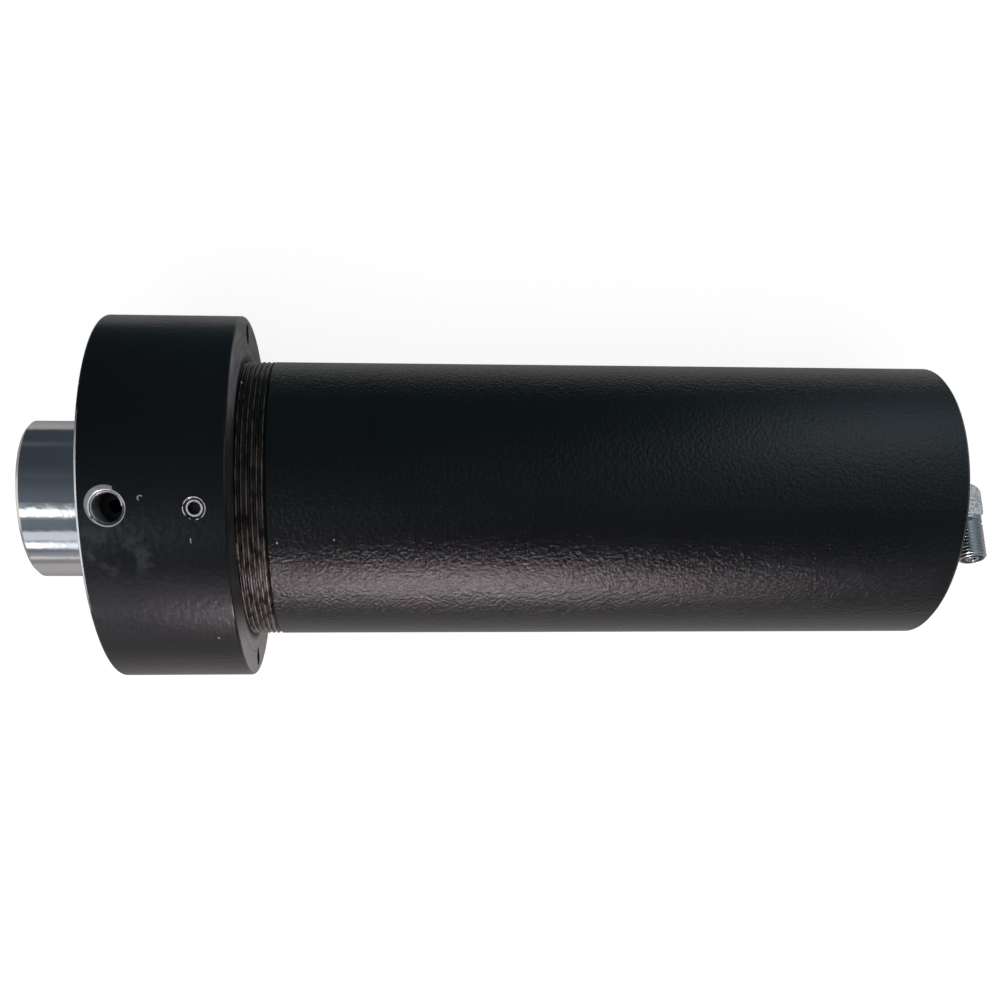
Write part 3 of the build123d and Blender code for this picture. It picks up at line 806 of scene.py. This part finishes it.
def weld_bead():
    """The base weld with the ripples of its pool."""
    half = 6 * mm
    middle = weld_r - half
    ripples = 130
    steps_across = 12
    sunk, foot, inset = 0.3 * mm, 1.5 * mm, 0.2 * mm
    crown_low, crown_ripple = 0.75 * mm, 0.25 * mm

    def section(turn):
        wave = 0.5 + 0.5 * cos(2 * pi * ripples * turn)
        points = []
        for i in range(steps_across + 1):
            side = -1 + 2 * i / steps_across
            crown = (1 - side * side) * (crown_low + crown_ripple * wave)
            points.append((barrel_rear - sunk + crown, middle + side * (half - inset)))
        root = barrel_rear - foot
        return points + [(root, middle + half / 2), (root, middle - half / 2)]

    vertices, faces = ring_mesh(section, 8 * ripples)
    made = piece("base_weld_bead", vertices, faces, finishes["black_paint"], "barrel")
    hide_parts("base_weld")


def floor_material():
    """Pale floor that looks white, and still takes the ram's shadow; in reflections it glows, dimmer
    near the ram as a painted shadow.
    """
    material, net, shader = new_material("pale_floor")
    point = net.object_point()
    grain = net.noise(point, 60.0, 3.0)
    net.feed(shader.inputs["Base Color"], net.mix(grain, (0.2, 0.2, 0.2), (0.22, 0.22, 0.22)))
    shader.inputs["Roughness"].default_value = 0.9
    shader.inputs["Specular IOR Level"].default_value = 0.0
    path = net.add("ShaderNodeLightPath").outputs
    mirrored = net.most(path["Is Glossy Ray"], path["Is Transmission Ray"])
    x, y, z = net.split(point)
    aside = net.math("ABSOLUTE", y)
    # Painted shadow: in reflections the floor glows dimmer within 0.14 m of the ram's axis.
    beside_with_shade = net.times(net.band(aside, 0.4, 0.3), net.band(aside, 0.03, 0.14, 0.08, 0.26))
    ahead = net.times(net.band(x, -0.3, -0.45), 0.8)
    near = net.times(mirrored, net.most(beside_with_shade, ahead))
    seen = net.most(path["Is Camera Ray"], near)
    warm = net.mix(mirrored, (1.0, 1.0, 1.0), (1.0, 0.92, 0.88))
    net.feed(shader.inputs["Emission Color"], warm)
    net.feed(shader.inputs["Emission Strength"], net.times(seen, 0.86))
    return material


def floor():
    """The floor touches the collar and the barrel's rear rim, as when the ram lies on it."""
    half = 14.0
    lean = atan2(collar_r - barrel_r, barrel_rear)
    place = Matrix.Translation((0, 0, -collar_r)) @ Matrix.Rotation(-lean, 4, "Y")
    signs = ((-1, -1), (1, -1), (1, 1), (-1, 1))
    corners = [place @ Vector((x * half, y * half, 0)) for x, y in signs]
    mesh = bpy.data.meshes.new("floor")
    mesh.from_pydata([tuple(c) for c in corners], [], [(0, 1, 2, 3)])
    mesh.materials.append(floor_material())
    made = bpy.data.objects.new("floor", mesh)
    scene.collection.objects.link(made)


def towards(angle, distance, x):
    """A point at an angle from the camera's side, positive below the ram in the picture."""
    turned = radians(angle - camera_lean)
    return Vector((x, -distance * sin(turned), distance * cos(turned)))


def lamp(name, angle, distance, x, length, width, power, colour, glossy=True):
    """A soft rectangular lamp that faces the ram; power is its brightness as seen."""
    data = bpy.data.lights.new(name, "AREA")
    data.shape = "RECTANGLE"
    data.size = length
    data.size_y = width
    data.color = colour
    data.energy = power * pi * length * width
    made = bpy.data.objects.new(name, data)
    made.location = towards(angle, distance, x)
    aim = Vector((x, 0, 0)) - made.location
    length_along_x = Matrix.Rotation(radians(90), 3, "Z")
    turned = aim.to_track_quat("-Z", "X").to_matrix() @ length_along_x
    made.rotation_euler = turned.to_euler()
    made.visible_camera = False
    made.visible_glossy = glossy
    scene.collection.objects.link(made)


def room_world():
    """White to the camera; the paint and the plating mirror a dim room with a paler horizon."""
    world = bpy.data.worlds.new("room")
    world.use_nodes = True
    scene.world = world
    net = Net(world.node_tree)
    across, side, up = net.split(net.add("ShaderNodeTexCoord").outputs["Generated"])
    path = net.add("ShaderNodeLightPath").outputs
    mirrored = net.most(path["Is Glossy Ray"], path["Is Transmission Ray"])
    slant = net.math("ARCTAN2", net.math("MULTIPLY", side, -1.0), up)
    by_barrel = net.band(across, -0.25, -0.12)
    overhead = net.mix(by_barrel, (0.115, 0.13, 0.155), (0.06, 0.066, 0.08))
    room = net.mix(net.band(slant, -0.6, 0.0), (0.06, 0.07, 0.085), overhead)
    rod_side = net.band(across, -0.2, -0.3)
    glow = net.times(rod_side, net.band(slant, -0.12, 0.16), net.band(slant, 0.85, 0.6))
    room = net.mix(glow, room, (0.15, 0.19, 0.215))
    base_side = net.band(across, 0.12, 0.4)
    window = net.times(base_side, net.band(slant, 0.3, -0.4))
    room = net.mix(window, room, (0.34, 0.43, 0.5))
    low = net.times(base_side, net.band(slant, 0.6, 0.9), net.band(slant, 1.35, 1.2))
    room = net.mix(low, room, (0.34, 0.35, 0.39))
    horizon = net.times(mirrored, net.band(up, 0.16, 0.1))
    room = net.mix(horizon, room, (0.29, 0.29, 0.32))
    ahead = net.times(mirrored, net.band(across, -0.75, -0.88))
    room = net.mix(ahead, room, (0.95, 0.98, 1.0))
    room = net.mix(path["Is Camera Ray"], room, (1.0, 1.0, 1.0))
    net.feed(world.node_tree.nodes["Background"].inputs["Color"], room)


def dark_card():
    """A glowing card across the ram from the camera, seen only in reflections: painted dark room next
    to the rod, painted windows by the base.
    """
    side, low, high, reach = 0.165, -0.2, 0.27, 3
    mesh = bpy.data.meshes.new("dark_card")
    corners = [(-reach, side, low), (reach, side, low), (reach, side, high), (-reach, side, high)]
    mesh.from_pydata(corners, [], [(0, 1, 2, 3)])
    material, net, shader = new_material("dark_card")
    x, y, z = net.split(net.object_point())
    # Painted reflection: the card's glow stands in for the dark room and the windows that the ram
    # mirrors.
    wall = net.mix(net.band(x, -0.14, 0.0), (0.042, 0.05, 0.062), (0.05, 0.085, 0.1))
    beside_rod = net.band(x, -0.08, -0.14)
    wall = net.mix(net.times(beside_rod, net.band(z, 0.1, 0.3)), wall, (0.075, 0.087, 0.102))
    horizon = net.times(beside_rod, net.within(z, 0.012, 0.034, 0.006))
    wall = net.mix(horizon, wall, (0.085, 0.1, 0.115))
    window = net.times(net.within(x, 0.25, 0.45, 0.08), net.band(z, -0.02, 0.06))
    wall = net.mix(window, wall, (0.42, 0.53, 0.62))
    # Painted window: a bright patch that the elbow's thread mirrors as its highlight.
    bright = net.times(net.within(x, 0.26, 0.36, 0.02), net.within(z, 0.09, 0.24, 0.02))
    wall = net.mix(bright, wall, (0.8, 0.9, 1.0))
    net.feed(shader.inputs["Emission Color"], wall)
    shader.inputs["Emission Strength"].default_value = 1.0
    shader.inputs["Base Color"].default_value = (0, 0, 0, 1)
    shader.inputs["Specular IOR Level"].default_value = 0.0
    mesh.materials.append(material)
    made = bpy.data.objects.new("dark_card", mesh)
    scene.collection.objects.link(made)
    made.visible_camera = False
    made.visible_diffuse = False
    made.visible_shadow = False


def studio():
    """The room, the lamps and the card."""
    room_world()
    dark_card()
    pink, lavender, cool = (1.0, 0.84, 0.89), (0.96, 0.95, 1.0), (0.97, 0.99, 1.0)
    lamp("side_window", 72.3, 1.0, 0.14, 0.26, 0.17, 30.0, pink)
    lamp("side_window_middle", 72.3, 1.01, -0.05, 0.15, 0.17, 6.0, pink)
    lamp("side_window_near", 71.5, 1.02, -0.24, 0.22, 0.19, 0.9, lavender)
    lamp("side_window_left", 70.5, 1.02, -0.64, 0.56, 0.19, 1.7, lavender)
    lamp("side_glow", 55, 1.1, -0.6, 0.66, 0.3, 0.64, (0.93, 0.95, 1.04))
    lamp("side_glow_pink", 57, 1.12, -0.06, 0.5, 0.2, 0.45, (1.0, 0.76, 0.98))
    lamp("rod_strip", 20.0, 1.3, -0.78, 0.75, 0.24, 2.0, cool)
    lamp("ceiling", 10, 2.4, 0.1, 2.6, 2.6, 2.2, (1, 1, 1), glossy=False)


scene.view_settings.view_transform = "Standard"
place_camera()
finish_nodes()
collar_edges()
barrel_thread()
port_thread()
port_burr()
elbow()
weld_bead()
floor()
studio()
